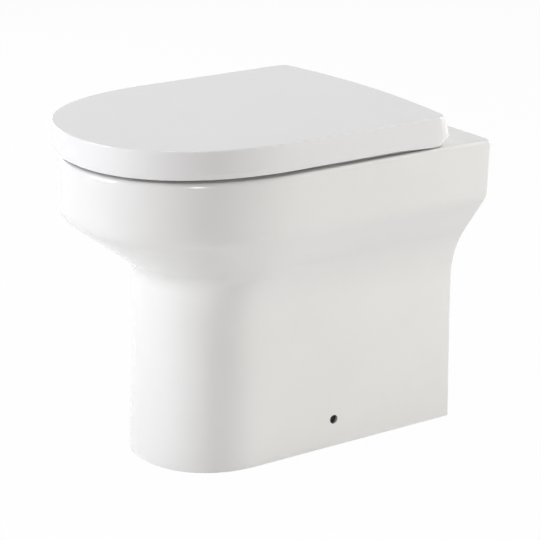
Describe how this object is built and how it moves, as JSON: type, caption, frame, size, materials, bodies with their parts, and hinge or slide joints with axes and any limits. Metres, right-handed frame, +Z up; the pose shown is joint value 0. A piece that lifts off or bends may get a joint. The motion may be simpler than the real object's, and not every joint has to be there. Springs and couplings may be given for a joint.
{
  "type": "back to wall toilet",
  "caption": "Floor standing back to wall toilet with a D shaped rim, a flared pedestal run back to the wall, and a wrap over soft close seat and lid on deck hinges.",
  "frame": {"origin": "middle of the footprint on the floor, under the centre of the overall box", "axes": "+Z up, +Y towards the wall behind the toilet, so the front of the bowl faces -Y, and +X to the left of a person sitting on it"},
  "size_m": [0.351, 0.5096, 0.4444],
  "materials": {
    "glazed_ceramic": "gloss",
    "white_moulding": "gloss",
    "hinge_metal": "polished",
    "steel": "satin",
    "hinge_plastic": "satin",
    "damper_plastic": "matte",
    "black_rubber": "matte",
    "buffer_rubber": "matte",
    "black_nylon": "moulded black nylon, lightly textured"
  },
  "bodies": {
    "base": {"pan": "glazed_ceramic", "hinge_arm_left": "hinge_metal", "hinge_arm_right": "hinge_metal", "arm_pad_left": "black_rubber", "arm_pad_right": "black_rubber", "hinge_pin_left": "steel", "hinge_pin_right": "steel", "fixing_stud_left": "steel", "fixing_stud_right": "steel", "stud_bush_left": "black_rubber", "stud_bush_right": "black_rubber", "stud_washer_left": "steel", "stud_washer_right": "steel", "wing_nut_left": "hinge_plastic", "wing_nut_right": "hinge_plastic", "floor_bracket_left": "black_nylon", "floor_bracket_right": "black_nylon"},
    "seat_body": {"seat": "white_moulding", "seat_hinge_bar": "hinge_plastic", "seat_damper": "damper_plastic", "seat_bush": "damper_plastic", "seat_buffer_front_left": "buffer_rubber", "seat_buffer_front_right": "buffer_rubber", "seat_buffer_rear_left": "buffer_rubber", "seat_buffer_rear_right": "buffer_rubber"},
    "lid_body": {"lid": "white_moulding", "lid_bracket_left": "hinge_plastic", "lid_bracket_right": "hinge_plastic", "lid_damper": "damper_plastic", "lid_bush": "damper_plastic", "lid_buffer_front_left": "buffer_rubber", "lid_buffer_front_right": "buffer_rubber", "lid_buffer_rear_left": "buffer_rubber", "lid_buffer_rear_right": "buffer_rubber"}
  },
  "joints": [
    {"name": "seat_hinge", "type": "hinge", "parent": "base", "child": "seat_body", "pos_m": [0, 0.18225, 0.42738], "axis": [-1, 0, 0], "range_deg": [0, 95]},
    {"name": "lid_hinge", "type": "hinge", "parent": "seat_body", "child": "lid_body", "pos_m": [0, 0.18225, 0.42738], "axis": [-1, 0, 0], "range_deg": [0, 93]}
  ]
}
